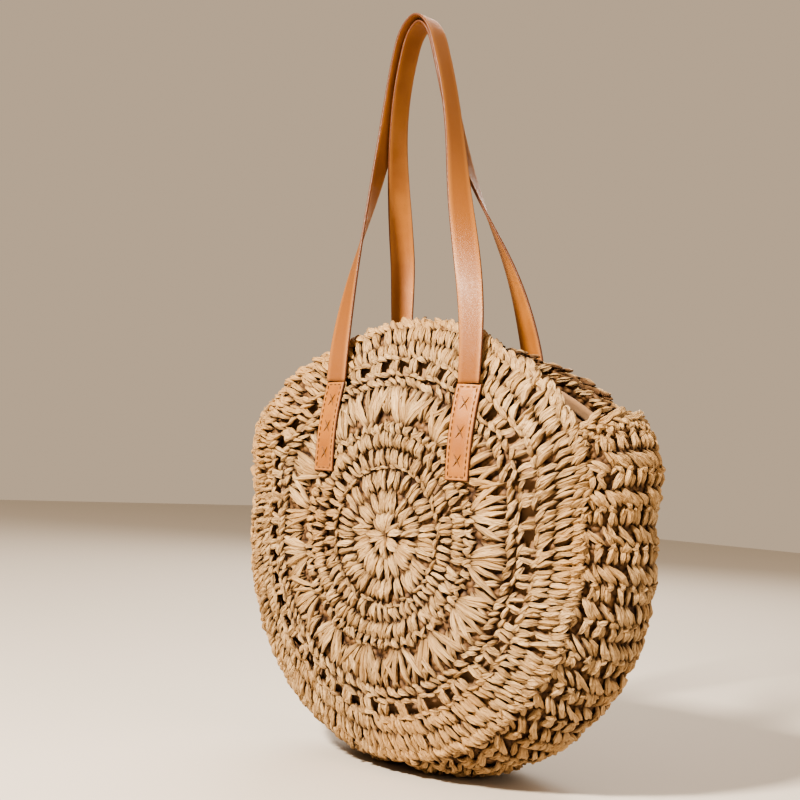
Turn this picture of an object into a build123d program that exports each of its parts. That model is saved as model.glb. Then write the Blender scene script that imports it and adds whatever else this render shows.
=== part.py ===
from build123d import *
import os
from math import atan2, cos, degrees, hypot, radians, sin, sqrt

# Round crocheted shoulder bag for the beach: two dished disc panels joined by a
# gusset that runs from one "ear" under the bag to the other, a sewn cloth lining
# with a slip pocket, and two flat leather straps stitched on at four ends.
# Millimetres. +Z is up, the front faces -Y, the right side is +X, and the origin
# is on the floor below the middle of the bag.

os.makedirs("parts", exist_ok=True)

# ---- crocheted body ----
panel_radius = 182.0      # seam circle of the front and back panels
wall = 7.0                # thickness of the crocheted fabric
seam_depth = 100.0        # from seam circle to seam circle at mid height, outside
panel_dish = 18.0         # how far a panel's middle stands out from its seam circle
flat_middle = 80.0        # radius of the panel's flat middle
front_tilt = 1.5          # degrees that the front panel leans in towards the mouth
back_tilt = 8.0           # the same for the back panel, which the straps pull forward
gusset_bulge = 32.0       # outward belly of the gusset at the sides
bottom_bulge = 24.0       # the same where the bag's weight presses it down
fullest = 0.8             # the belly is at most this share of the gusset's half width
ear_angle = 32.0          # the gusset ends this many degrees above the disc centre
floor_flat = 5.0          # how much of the belly is pressed flat by the floor
edging = 5.0              # width of the braided edging and of the seam ridges
edging_cut = 2.0          # the edging is this much thinner than the panel
butt_gap = 0.3            # between the gusset's edge and the back of a panel
gusset_sections = 8       # stations of the gusset from an ear to the bottom

# ---- lining ----
cloth = 1.0               # cloth thickness
lining_gap = 1.0          # between the crochet and the cloth
hem_width = 10.0          # folded hem sewn inside the mouth
hem = 2.0                 # thickness of that hem
pocket_width = 130.0
pocket_height = 105.0
pocket_top = 60.0         # above the disc centre
pocket_room = 1.5         # between pocket and lining
pocket_seam = 6.0         # sewn margin at the pocket's sides and bottom

# ---- leather straps ----
strap_width = 23.0
leather = 2.4             # strap thickness
strap_spacing = 152.0     # between the centre lines of a strap's two ends
end_below_seam = 52.0     # top of the stitched ends, from here below the seam circle
end_length = 80.0
fold_gap = 0.5            # between the stitched end and the free strap
strap_rise = 340.0        # from the fold to the apex of the front loop
apex_side = -50.0         # the loops lean this far to the left
apex_depth = -4.0         # where the loops hang together, along Y
apex_shift = 2.5          # front loop this much forward of that, back loop behind
nest_gap = 2.8            # between the outer (front) and inner (back) loop
twist_done = 0.78         # share of the rise where the leather has turned edge-on
lean_done = 0.75          # share of the rise where both loops run side by side

# ---- hand stitching on the strap ends ----
thread = 0.8
stitch_length = 3.4
stitch_pitch = 5.2
stitch_inset = 3.0
stitch_lift = 0.1
cross_count = 3
cross_height = 15.0
cross_width = 10.0

centre_z = panel_radius + bottom_bulge - floor_flat
end_top = panel_radius - end_below_seam
end_middle = end_top - end_length / 2
cloth_radius = panel_radius - wall - lining_gap
rim_run = panel_radius - flat_middle
rim_radius = (rim_run**2 + panel_dish**2) / (2 * panel_dish)


# ---- panel shapes, in a panel's own frame: disc centre at the origin, face to -Y ----
def stand_out(r):
    """How far the panel's face stands out from the seam circle at radius r."""
    run = max(0.0, r - flat_middle)
    return panel_dish - rim_radius + sqrt(rim_radius**2 - run**2)


def face_line(shift, inner, outer):
    """Profile of the face from one radius to another: a flat, then a round."""
    bend = min(max(inner, flat_middle), outer)
    edges = []
    if inner < bend:
        y = shift - panel_dish
        edges.append(Line((inner, y), (bend, y)))
    if bend < outer:
        stops = (bend, (bend + outer) / 2, outer)
        edges.append(ThreePointArc(*[(r, shift - stand_out(r)) for r in stops]))
    return edges


def layer(offset, thickness, inner, outer, start=0.0, end=360.0):
    """Ring that follows the face, offset behind it; angles up from +X."""
    far = offset + thickness
    edges = face_line(offset, inner, outer) + face_line(far, inner, outer)
    for r in (inner, outer):
        edges.append(Line((r, offset - stand_out(r)), (r, far - stand_out(r))))
    ring = revolve(make_face(edges), axis=Axis.Y, revolution_arc=end - start)
    return Rot(0, -end, 0) * ring


def block(x, z, width, height):
    """Prism through a panel, with its middle at x and z on the panel."""
    return Pos(x, 0, z) * Box(width, 4 * panel_radius, height)


def on_face(x, z, out, turn):
    """A plane that lies out from the face at x and z, turned about its normal."""
    r = hypot(x, z)
    run = max(0.0, r - flat_middle)
    slope = run / sqrt(rim_radius**2 - run**2)
    normal = Vector(slope * x / r, -1, slope * z / r).normalized()
    along = Vector(cos(radians(turn)), 0, sin(radians(turn)))
    along = (along - normal * along.dot(normal)).normalized()
    origin = Vector(x, -stand_out(r), z) + normal * out
    return Plane(origin, x_dir=along, z_dir=normal)


def leaning(tilt):
    """The front panel's frame for an inward tilt; the back panel is its mirror image."""
    return Pos(0, -seam_depth / 2, centre_z) * Rot(-tilt, 0, 0)


def on_back(shape):
    return mirror(leaning(back_tilt) * shape, about=Plane.XZ)


def overhang():
    """How much further the back stands out than the front."""
    panel = layer(0, wall, 0, panel_radius)
    front, back = leaning(front_tilt) * panel, on_back(panel)
    return back.bounding_box().max.Y + front.bounding_box().min.Y


forward = overhang() / 2


def save(shape, name):
    """Write a piece, moved forward so that the bag's depth is centred on the origin."""
    moved = Pos(0, -forward, 0) * shape
    moved.label = name
    export_step(moved, f"parts/{name}.step")


def save_pair(shape, name):
    """A piece of the front panel, and its twin on the back panel."""
    save(leaning(front_tilt) * shape, f"front_{name}")
    save(on_back(shape), f"back_{name}")


# ---- gusset ----
def belly(angle):
    """Bulge of the gusset at an angle, less where it lies on the floor."""
    down = max(0.0, -sin(radians(angle)))
    return gusset_bulge + (bottom_bulge - gusset_bulge) * down**3


def gusset_section(angle, radius, thickness, setback):
    """Cross-section of the gusset, setback from the seam circles at both ends."""
    a = radians(angle)
    flat = seam_depth / 2 - setback
    front_y = panel_radius * sin(a) * sin(radians(front_tilt)) - flat
    back_y = flat - panel_radius * sin(a) * sin(radians(back_tilt))
    middle, half = (front_y + back_y) / 2, (back_y - front_y) / 2
    out = radius + min(belly(angle), fullest * half)
    inner = radius - thickness
    skin = ThreePointArc((radius, -half), (out, 0), (radius, half))
    back = ThreePointArc((inner, -half), (out - thickness, 0), (inner, half))
    ends = [Line((radius, y), (inner, y)) for y in (-half, half)]
    place = Plane((0, middle, centre_z), x_dir=(cos(a), 0, sin(a)), z_dir=(sin(a), 0, -cos(a)))
    return place * make_face([skin, back] + ends)


def gusset_shell(radius, thickness, setback):
    """The gusset from the right ear, under the bag, to the left ear, pressed flat by the floor."""
    step = (90 + ear_angle) / (gusset_sections - 1)
    angles = [ear_angle - i * step for i in range(gusset_sections)]
    right = loft([gusset_section(a, radius, thickness, setback) for a in angles])
    size = 6 * panel_radius
    right &= Pos(0, 0, size / 2) * Box(size, size, size)
    return right + mirror(right, about=Plane.YZ)


def ear_edging(angle, amount):
    """Braided edging across the top of one ear."""
    return extrude(gusset_section(angle, panel_radius, wall, wall + butt_gap), amount=amount)


# ---- strap ends and their stitching ----
def stitched_end(side):
    skin = layer(-leather, leather, 0, panel_radius - edging)
    return skin & block(side * strap_spacing / 2, end_middle, strap_width, end_length)


def stitch(side, x, z, turn, length):
    """One straight stitch, x and z from the middle of the stitched end."""
    out = leather + thread / 2 + stitch_lift
    place = on_face(side * strap_spacing / 2 + x, end_middle + z, out, turn)
    return place * Box(length, thread, thread)


def stitching(side):
    """Running stitch round the end, and the large crosses down its middle."""
    wide, tall = strap_width - 2 * stitch_inset, end_length - 2 * stitch_inset
    down, across = int(tall / stitch_pitch), int(wide / stitch_pitch)
    pieces = []
    for edge in (-1, 1):
        for i in range(down):
            z = (i - (down - 1) / 2) * tall / down
            pieces.append(stitch(side, edge * wide / 2, z, 90, stitch_length))
        for i in range(across):
            x = (i - (across - 1) / 2) * wide / across
            pieces.append(stitch(side, x, edge * tall / 2, 0, stitch_length))
    slant = degrees(atan2(cross_height, cross_width))
    length = hypot(cross_height, cross_width)
    for i in range(cross_count):
        z = (i - (cross_count - 1) / 2) * end_length / (cross_count + 0.4)
        bars = [stitch(side, 0, z, turn, length) for turn in (-slant, slant)]
        pieces.append((bars[0] + bars[1]).solid())
    return Compound(children=pieces)


# ---- free straps ----
def fold_line(tilt):
    """Y and Z of the front panel's fold, just outside the leather at the stitched end's top."""
    r = hypot((strap_spacing - strap_width) / 2, end_top)
    out = stand_out(r) + leather + 2 * fold_gap
    point = (leaning(tilt) * Pos(0, -out, end_top + fold_gap / 2)).position
    return point.Y, point.Z


# From the fold to the apex: share of the rise, share of the way from the middle of
# the strap's two ends to the apex side, and the loop's width there as a share of
# the strap spacing.
loop_shape = [
    (0.0, 0.0, 1.0),
    (0.15, 0.13, 0.974),
    (0.31, 0.36, 0.868),
    (0.49, 0.62, 0.697),
    (0.67, 0.82, 0.546),
    (0.82, 0.93, 0.414),
    (0.915, 0.98, 0.303),
    (0.975, 1.0, 0.178),
]


def ease(t):
    """Rises smoothly from 0 to 1."""
    t = min(1.0, max(0.0, t))
    return t * t * (3 - 2 * t)


def loop_stations(tilt, apex_y, inset):
    """Centre points and twist of a loop, from its left end over to its right."""
    fold_y, fold_z = fold_line(tilt)
    start_y, start_z = fold_y + fold_gap + leather / 2, fold_z + fold_gap / 2
    half = strap_spacing / 2
    flat = [(apex_side * s - half * w, rise, 90 * ease(rise / twist_done)) for rise, s, w in loop_shape]
    flat.append((apex_side, 1.0, 90))
    for rise, s, w in loop_shape[::-1]:
        flat.append((apex_side * s + half * w, rise, 180 - 90 * ease(rise / twist_done)))
    stations = []
    for i, (x, rise, turn) in enumerate(flat):
        before, after = flat[max(i - 1, 0)], flat[min(i + 1, len(flat) - 1)]
        along = Vector(after[0] - before[0], 0, (after[1] - before[1]) * strap_rise).normalized()
        inward = Vector(along.Z, 0, -along.X) * inset * ease(rise / lean_done)
        lean = 0.5 * ease(rise / lean_done) + 0.5 * min(1.0, rise / lean_done)
        y = start_y + (apex_y - start_y) * lean
        stations.append((Vector(x, y, start_z + strap_rise * rise) + inward, turn))
    return stations


def strap_section(point, tangent, turn):
    """Rectangle of leather across the strap at one station."""
    width = Vector(cos(radians(turn)), -sin(radians(turn)), 0)
    width = (width - tangent * width.dot(tangent)).normalized()
    return Plane(point, x_dir=width, z_dir=tangent) * Rectangle(strap_width, leather)


def strap_loop(tilt, apex_y, inset):
    """A free strap: a ribbon that turns edge-on towards the top of its loop."""
    stations = loop_stations(tilt, apex_y, inset)
    points = [point for point, turn in stations]
    line = Spline(*points, tangents=[(0, 0, 1), (0, 0, -1)])
    sections = []
    for point, turn in stations:
        tangent = line.tangent_at(line.param_at_point(point))
        sections.append(strap_section(point, tangent, turn))
    return loft(sections), line.length


# ---- build and write every piece ----
dome = (ear_angle, 180 - ear_angle)
below = (-180 - ear_angle, ear_angle)

save_pair(layer(0, wall, 0, panel_radius), "panel")
edge = (0, wall - edging_cut, panel_radius, panel_radius + edging)
save_pair(layer(*edge, *dome), "rim")
save_pair(layer(*edge, *below), "seam")
save(gusset_shell(panel_radius, wall, wall + butt_gap), "gusset")
save(ear_edging(ear_angle, -edging), "right_ear_edging")
save(ear_edging(-180 - ear_angle, edging), "left_ear_edging")

behind = wall + lining_gap
hem_inner = cloth_radius - hem_width
lining = layer(behind, cloth, 0, hem_inner) + layer(behind, cloth, hem_inner, cloth_radius - cloth, *below)
save_pair(lining, "lining")
save_pair(layer(behind, hem, hem_inner, cloth_radius, dome[0] + 1, dome[1] - 1), "hem")
save(gusset_shell(cloth_radius, cloth, behind + cloth + butt_gap), "gusset_lining")

pocket_middle = pocket_top - pocket_height / 2
pocket = layer(behind + cloth, pocket_room + cloth, 0, panel_radius - edging)
pocket &= block(0, pocket_middle, pocket_width, pocket_height)
room = layer(behind + cloth, pocket_room, 0, panel_radius - edging)
room &= block(0, pocket_middle + pocket_seam, pocket_width - 2 * pocket_seam, pocket_height)
save(on_back(pocket - room), "slip_pocket")

for side, name in ((-1, "left"), (1, "right")):
    save_pair(stitched_end(side), f"strap_end_{name}")
    save_pair(stitching(side), f"stitching_{name}")

front_strap, front_length = strap_loop(front_tilt, apex_depth - apex_shift, 0)
back_strap, back_length = strap_loop(back_tilt, -apex_depth - apex_shift, leather + nest_gap)
save(front_strap, "front_strap")
save(mirror(back_strap, about=Plane.XZ), "back_strap")
print("strap loops", round(front_length), round(back_length))
print("fold lines", fold_line(front_tilt), fold_line(back_tilt), "moved forward", forward)
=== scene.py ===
from math import cos, hypot, pi, radians, sin, sqrt, tau

import bpy
import numpy as np
from mathutils import Matrix, Vector


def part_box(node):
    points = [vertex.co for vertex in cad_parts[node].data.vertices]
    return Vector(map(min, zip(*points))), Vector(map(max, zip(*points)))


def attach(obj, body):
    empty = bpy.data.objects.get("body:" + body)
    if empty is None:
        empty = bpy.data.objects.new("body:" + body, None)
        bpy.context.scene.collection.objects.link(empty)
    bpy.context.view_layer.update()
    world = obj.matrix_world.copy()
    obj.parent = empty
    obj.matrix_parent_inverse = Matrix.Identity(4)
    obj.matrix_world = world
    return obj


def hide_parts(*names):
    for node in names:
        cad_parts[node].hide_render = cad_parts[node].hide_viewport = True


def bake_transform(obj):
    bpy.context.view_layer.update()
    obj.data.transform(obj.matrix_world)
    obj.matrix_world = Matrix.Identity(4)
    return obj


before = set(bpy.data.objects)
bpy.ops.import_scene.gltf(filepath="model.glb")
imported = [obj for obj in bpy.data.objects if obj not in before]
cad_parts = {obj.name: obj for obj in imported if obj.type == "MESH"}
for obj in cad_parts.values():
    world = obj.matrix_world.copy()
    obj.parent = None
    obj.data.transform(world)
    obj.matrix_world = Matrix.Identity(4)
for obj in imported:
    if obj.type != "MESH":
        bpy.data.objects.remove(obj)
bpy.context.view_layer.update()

scene = bpy.context.scene

# ---- Floor and light ----
# A pale floor that the bag stands on, a large soft key light from the upper left,
# a weaker fill from the right and a pale surround.

floor_mesh = bpy.data.meshes.new("floor")
floor_mesh.from_pydata([(-4, -4, 0), (4, -4, 0), (4, 4, 0), (-4, 4, 0)], [], [(0, 1, 2, 3)])
floor = bpy.data.objects.new("floor", floor_mesh)
scene.collection.objects.link(floor)
plaster = bpy.data.materials.new("pale_floor")
plaster.use_nodes = True
plaster_shader = plaster.node_tree.nodes["Principled BSDF"]
plaster_shader.inputs["Base Color"].default_value = (0.62, 0.57, 0.51, 1)
plaster_shader.inputs["Roughness"].default_value = 0.6
floor_mesh.materials.append(plaster)

for name, azimuth, height, away, size, power, colour in (
    ("key", 2, 1.75, 1.9, 0.26, 128, (1.0, 0.92, 0.81)),
    ("fill", 95, 0.9, 2.2, 1.8, 15, (1.0, 0.90, 0.80)),
    ("back", 215, 1.6, 2.0, 1.5, 26, (1.0, 0.95, 0.90)),
):
    lamp = bpy.data.lights.new(name, "AREA")
    lamp.size, lamp.energy, lamp.color = size, power, colour
    light = bpy.data.objects.new(name, lamp)
    turn = radians(azimuth)
    light.location = (away * sin(turn), -away * cos(turn), height)
    aim = Vector((0, 0, 0.25)) - light.location
    light.rotation_euler = aim.to_track_quat("-Z", "Y").to_euler()
    scene.collection.objects.link(light)

surround = bpy.data.worlds.new("surround")
surround.use_nodes = True
surround.node_tree.nodes["Background"].inputs["Color"].default_value = (0.84, 0.67, 0.50, 1)
surround.node_tree.nodes["Background"].inputs["Strength"].default_value = 0.52
scene.world = surround
scene.view_settings.look = "AgX - High Contrast"

# ---- Camera ----
# Stands to the right of the bag's front, a little lower than the mouth, with a
# portrait lens, and is turned slightly so that the bag sits right of the middle.

camera_azimuth = radians(40.2)
camera_height = 0.268
camera_distance = 1.22
camera_roll = radians(3.6)
watched = Vector((0, -0.0058, 0.300))
lens = bpy.data.cameras.new("camera")
lens.lens = 61.9
camera = bpy.data.objects.new("camera", lens)
reach = sqrt(camera_distance**2 - (watched.z - camera_height) ** 2)
camera.location = (reach * sin(camera_azimuth), watched.y - reach * cos(camera_azimuth), camera_height)
facing = (watched - camera.location).to_track_quat("-Z", "Y").to_matrix().to_4x4()
turned = facing @ Matrix.Rotation(camera_roll, 4, "Z")
turned = turned @ Matrix.Rotation(radians(1.80), 4, "Y") @ Matrix.Rotation(radians(0.98), 4, "X")
camera.rotation_euler = turned.to_euler()
scene.collection.objects.link(camera)
scene.camera = camera

# ---- Crocheted panels ----
# Two discs worked in the round from creased ribbons of paper straw: petals in the
# middle, three radial rounds, sixteen shells, a round of eyelets and two dense
# outer rounds. Each disc is dished, leans in, and its free top is drawn in further.

panel_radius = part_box("front_panel")[1].x
seam_depth = 0.100
panel_dish = 0.018
flat_middle = 0.080
panel_tilt = {-1: radians(1.5), 1: radians(8.0)}
forward = 0.005834      # the bag is moved forward by this to centre its depth
centre_z = 0.201
rim_radius = ((panel_radius - flat_middle) ** 2 + panel_dish**2) / (2 * panel_dish)
mouth_pull = {-1: 0.003, 1: 0.030}    # how far the free top of each panel is drawn in
back_sag = 0.009        # the slack top of the back panel sinks by this much
front_swell = 0.006     # the filled bag pushes the front out below the strap ends
ear_flare = 0.018       # the corners of the mouth are pulled sideways by this much


def rise(value, low, high):
    """0 below low, 1 above high and a smooth climb between them."""
    t = np.clip((value - low) / (high - low), 0, 1)
    return t * t * (3 - 2 * t)


def settled(points):
    """How the soft bag stands: ears pulled wide, the mouth drawn together, the front a little swollen."""
    x, y, z = points.T
    up = z - centre_z
    side = np.sign(y)
    free = np.clip(1 - (x / 0.150) ** 2, 0, 1)
    pull = np.where(side < 0, mouth_pull[-1], mouth_pull[1]) * rise(up, 0.050, panel_radius)
    swell = np.where(side < 0, front_swell, 0.0) * rise(up, 0.010, 0.110) * (1 - rise(up, 0.130, 0.185))
    corner = rise(up, 0.015, 0.090) * rise(np.abs(x), 0.080, 0.145)
    wide = x + np.sign(x) * ear_flare * corner
    deep = y - side * (pull - swell) * free + 0.12 * y * corner
    low = z - np.where(side > 0, back_sag, 0.0) * rise(up, 0.125, panel_radius) * free
    return np.column_stack([wide, deep - forward, low])


def onto_panel(flat, side):
    """Bends flat work onto a panel: x across, y up, z out of the face. side is -1 for the front."""
    x, up, out = flat.T
    tilt = panel_tilt[side]
    r = np.maximum(np.hypot(x, up), 1e-9)
    run = np.clip(r - flat_middle, 0, 0.8 * rim_radius)
    steep = run / np.sqrt(rim_radius**2 - run**2)
    size = np.sqrt(1 + steep**2)
    stand = panel_dish - rim_radius + np.sqrt(rim_radius**2 - run**2)
    across = x + out * steep * x / r / size
    height = up + out * steep * up / r / size
    depth = -stand - out / size
    y = depth * cos(tilt) + height * sin(tilt) - seam_depth / 2
    z = height * cos(tilt) - depth * sin(tilt)
    return settled(np.column_stack([-side * across, -side * y, z + centre_z]))


def bend(mesh, onto, *where):
    """Moves the points of flat work onto the bag."""
    flat = np.empty(len(mesh.vertices) * 3)
    mesh.vertices.foreach_get("co", flat)
    mesh.vertices.foreach_set("co", onto(flat.reshape(-1, 3), *where).ravel())
    mesh.update()


def put(tree, kind, settings, feeds):
    """Adds a node, with its settings, and values or other nodes' outputs fed to its inputs."""
    made = tree.nodes.new(kind)
    for name, value in settings.items():
        setattr(made, name, value)
    for socket, feed in feeds.items():
        if isinstance(feed, bpy.types.NodeSocket):
            tree.links.new(feed, made.inputs[socket])
        else:
            made.inputs[socket].default_value = feed
    return made


def maths(tree, operation, *values):
    """Output of one sum, product or other step of arithmetic."""
    return put(tree, "ShaderNodeMath", {"operation": operation}, dict(enumerate(values))).outputs[0]


def vectors(tree, operation, first, second):
    """Output of one step of arithmetic on two vectors."""
    return put(tree, "ShaderNodeVectorMath", {"operation": operation}, {0: first, 1: second}).outputs[0]


def grid_faces(rows, columns):
    """Four-sided faces over rows and columns of points, counted row by row."""
    corners = [i * (columns + 1) + c for i in range(rows) for c in range(columns)]
    return [(a, a + 1, a + columns + 2, a + columns + 1) for a in corners]


# One strand of straw as it shows between two loops: a folded paper ribbon, widest
# in its middle, with sharp lengthwise creases, that dives under its neighbours at
# both ends. Unit length and width, in three ways of creasing.
strand_rings = 7
strand_sides = 9


def straw_strand(name, creases, bow, twist):
    points, painted_shade_crests, faces, uvs = [], [], [], []
    for i in range(strand_rings + 1):
        t = -1 + 2 * i / strand_rings
        full = 0.22 + 0.78 * (1 - abs(t) ** 2.2)
        for k in range(strand_sides):
            turn = tau * k / strand_sides
            pleat = 1 + creases[k] * (1 + 0.35 * sin(2.1 * i + 1.7 * k))
            y = 0.5 * full * pleat * cos(turn + twist * t) + bow * (1 - t * t)
            z = 0.5 * (0.4 + 0.6 * full) * pleat * sin(turn + twist * t) + 0.60 * (1 - t * t) - 0.40
            points.append((0.5 * t, y, z))
            # Weights for painted shade: 1 on the strand's top, falling to 0 on its underside and at its ends.
            painted_shade_crests.append(max(0.0, min(1.0, 0.5 + 0.5 * sin(turn))) * (1 - 0.85 * abs(t) ** 2.2))
    for i in range(strand_rings):
        for k in range(strand_sides):
            a, b = i * strand_sides + k, i * strand_sides + (k + 1) % strand_sides
            faces.append((a, b, b + strand_sides, a + strand_sides))
            for u, v in ((i, k), (i, k + 1), (i + 1, k + 1), (i + 1, k)):
                uvs.append((u / strand_rings, v / strand_sides))
    for ring, flip in ((0, True), (strand_rings, False)):
        corners = [ring * strand_sides + k for k in range(strand_sides)]
        faces.append(tuple(corners[::-1] if flip else corners))
        uvs += [(ring / strand_rings, k / strand_sides) for k in range(strand_sides)]
    mesh = bpy.data.meshes.new(name)
    mesh.from_pydata(points, [], faces)
    mesh.uv_layers.new(name="strand").data.foreach_set("uv", np.array(uvs).ravel())
    mesh.attributes.new("painted_shade_crest", "FLOAT", "POINT").data.foreach_set("value", painted_shade_crests)
    return bpy.data.objects.new(name, mesh)


strands = bpy.data.collections.new("strands")
for name, creases, bow, twist in (
    ("strand_a", (0.05, -0.16, 0.20, -0.24, 0.10, 0.0, 0.0, 0.0, 0.0), 0.05, 0.25),
    ("strand_b", (0.0, 0.18, -0.26, 0.20, -0.10, 0.0, 0.05, 0.0, 0.0), -0.08, -0.35),
    ("strand_c", (-0.06, 0.20, 0.02, -0.26, 0.16, 0.0, 0.0, 0.05, 0.0), 0.02, 0.55),
):
    strands.objects.link(straw_strand(name, creases, bow, twist))


def stitch_tree(name, ring):
    """Geometry nodes that work rounds (ring) or straight rows of stitches, each of one or more strands."""
    tree = bpy.data.node_groups.new(name, "GeometryNodeTree")
    sockets = tree.interface
    for label, kind in (
        ("Geometry", "Geometry"), ("Strands", "Collection"), ("Straw", "Material"),
        ("Foot", "Float"), ("Rows", "Int"), ("Row Pitch", "Float"), ("Start", "Float"),
        ("Extent", "Float"), ("Stitches", "Int"), ("Each", "Int"), ("Gap", "Float"),
        ("Spread", "Float"), ("Lean", "Float"), ("Length", "Float"), ("Width", "Float"),
        ("Height", "Float"), ("Lift", "Float"), ("Uneven", "Float"), ("Seed", "Int"),
    ):
        sockets.new_socket(label, in_out="INPUT", socket_type="NodeSocket" + kind)
    sockets.new_socket("Geometry", in_out="OUTPUT", socket_type="NodeSocketGeometry")
    given = tree.nodes.new("NodeGroupInput").outputs
    index = tree.nodes.new("GeometryNodeInputIndex").outputs[0]

    def chance(low, high, shift):
        feeds = {2: low, 3: high, 7: index, 8: maths(tree, "ADD", given["Seed"], shift)}
        return put(tree, "FunctionNodeRandomValue", {"data_type": "FLOAT"}, feeds).outputs[1]

    in_row = maths(tree, "MULTIPLY", given["Stitches"], given["Each"])
    row = maths(tree, "FLOOR", maths(tree, "DIVIDE", index, in_row))
    in_row_index = maths(tree, "SUBTRACT", index, maths(tree, "MULTIPLY", row, in_row))
    stitch = maths(tree, "FLOOR", maths(tree, "DIVIDE", in_row_index, given["Each"]))
    which = maths(tree, "SUBTRACT", in_row_index, maths(tree, "MULTIPLY", stitch, given["Each"]))
    middle = maths(tree, "MULTIPLY", maths(tree, "SUBTRACT", given["Each"], 1.0), 0.5)
    side = maths(tree, "SUBTRACT", which, middle)
    share = maths(tree, "DIVIDE", maths(tree, "ADD", stitch, 0.5), given["Stitches"])
    foot = maths(tree, "MULTIPLY_ADD", row, given["Row Pitch"], given["Foot"])
    beside = maths(tree, "MULTIPLY", side, given["Gap"])
    if ring:
        around = maths(tree, "MULTIPLY_ADD", share, given["Extent"], given["Start"])
        base = maths(tree, "ADD", around, maths(tree, "DIVIDE", beside, foot))
        foot_x = maths(tree, "MULTIPLY", foot, maths(tree, "COSINE", base))
        foot_y = maths(tree, "MULTIPLY", foot, maths(tree, "SINE", base))
    else:
        base = maths(tree, "ADD", 0.0, pi / 2)
        along = maths(tree, "MULTIPLY_ADD", maths(tree, "SUBTRACT", share, 0.5), given["Extent"], beside)
        foot_x = maths(tree, "ADD", along, given["Start"])
        foot_y = foot
    heading = maths(tree, "ADD", base, given["Lean"])
    heading = maths(tree, "MULTIPLY_ADD", side, given["Spread"], heading)
    heading = maths(tree, "MULTIPLY_ADD", chance(-0.16, 0.16, 1), given["Uneven"], heading)
    half = maths(tree, "MULTIPLY", given["Length"], 0.5)
    stray = maths(tree, "MULTIPLY", given["Uneven"], 0.0008)
    x = maths(tree, "MULTIPLY_ADD", half, maths(tree, "COSINE", heading), foot_x)
    y = maths(tree, "MULTIPLY_ADD", half, maths(tree, "SINE", heading), foot_y)
    x = maths(tree, "MULTIPLY_ADD", chance(-1, 1, 2), stray, x)
    y = maths(tree, "MULTIPLY_ADD", chance(-1, 1, 3), stray, y)
    z = maths(tree, "MULTIPLY_ADD", chance(-1, 1, 4), stray, given["Lift"])
    place = put(tree, "ShaderNodeCombineXYZ", {}, {0: x, 1: y, 2: z}).outputs[0]
    count = maths(tree, "MULTIPLY", in_row, given["Rows"])
    points = put(tree, "GeometryNodePoints", {}, {"Count": count, "Position": place}).outputs[0]

    roll = maths(tree, "MULTIPLY", chance(-0.30, 0.30, 5), given["Uneven"])
    turn = put(tree, "ShaderNodeCombineXYZ", {}, {0: roll, 2: heading}).outputs[0]
    long = maths(tree, "MULTIPLY", given["Length"], chance(0.92, 1.14, 6))
    wide = maths(tree, "MULTIPLY", given["Width"], chance(0.84, 1.18, 7))
    tall = maths(tree, "MULTIPLY", given["Height"], chance(0.85, 1.2, 8))
    size = put(tree, "ShaderNodeCombineXYZ", {}, {0: long, 1: wide, 2: tall}).outputs[0]
    pick = maths(tree, "FLOOR", chance(0.0, 2.99, 9))
    sort = put(tree, "GeometryNodeCollectionInfo", {}, {
        "Collection": given["Strands"], "Separate Children": True, "Reset Children": True})
    laid = put(tree, "GeometryNodeInstanceOnPoints", {}, {
        "Points": points, "Instance": sort.outputs[0], "Pick Instance": True,
        "Instance Index": pick, "Rotation": turn, "Scale": size})
    toned = put(tree, "GeometryNodeStoreNamedAttribute", {"data_type": "FLOAT", "domain": "INSTANCE"}, {
        "Geometry": laid.outputs[0], "Name": "tone", "Value": chance(0, 1, 10)})
    real = put(tree, "GeometryNodeRealizeInstances", {}, {0: toned.outputs[0]})
    spot = tree.nodes.new("GeometryNodeInputPosition").outputs[0]
    noise = put(tree, "ShaderNodeTexNoise", {}, {"Vector": spot, "Scale": 120.0, "Detail": 1.0})
    wave = vectors(tree, "SUBTRACT", noise.outputs["Color"], (0.5, 0.5, 0.5))
    wave = put(tree, "ShaderNodeVectorMath", {"operation": "SCALE"}, {0: wave, "Scale": 0.0032}).outputs[0]
    moved = put(tree, "GeometryNodeSetPosition", {}, {"Geometry": real.outputs[0], "Offset": wave})
    dressed = put(tree, "GeometryNodeSetMaterial", {}, {0: moved.outputs[0], "Material": given["Straw"]})
    both = tree.nodes.new("GeometryNodeJoinGeometry")
    tree.links.new(given["Geometry"], both.inputs[0])
    tree.links.new(dressed.outputs[0], both.inputs[0])
    end = tree.nodes.new("NodeGroupOutput")
    tree.links.new(both.outputs[0], end.inputs[0])
    return tree


round_tree = stitch_tree("stitch_round", True)
row_tree = stitch_tree("stitch_rows", False)


# The sizes that differ from one round or row of stitches to the next, in millimetres
# and degrees: where it starts, how many stitches, strands in each, gap and spread
# between those, then each strand's length, width, height, lean and lift, and a seed.
stitch_sizes = ("foot", "stitches", "each", "gap", "spread", "length", "width", "height", "lean", "lift", "seed")
whole_sizes = {"rows", "stitches", "each", "seed"}
unevenness = 1.6


def work(piece, tree, table, **shared):
    """Adds rounds or rows of stitches to a piece, one for each line of the table."""
    turns = {"spread", "lean"} | ({"start", "extent"} if tree == round_tree else set())
    named = {s.name: s.identifier for s in tree.interface.items_tree if s.in_out == "INPUT"}
    for line in table:
        modifier = piece.modifiers.new("stitches", "NODES")
        modifier.node_group = tree
        modifier[named["Strands"]] = strands
        modifier[named["Straw"]] = straw
        sizes = dict(rows=1, row_pitch=0, start=0, uneven=unevenness) | shared | dict(zip(stitch_sizes, line))
        for word, value in sizes.items():
            if word in turns:
                value = radians(value)
            elif word not in whole_sizes and word != "uneven":
                value = value / 1000
            label = word.replace("_", " ").title()
            modifier[named[label]] = int(value) if word in whole_sizes else float(value)


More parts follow.
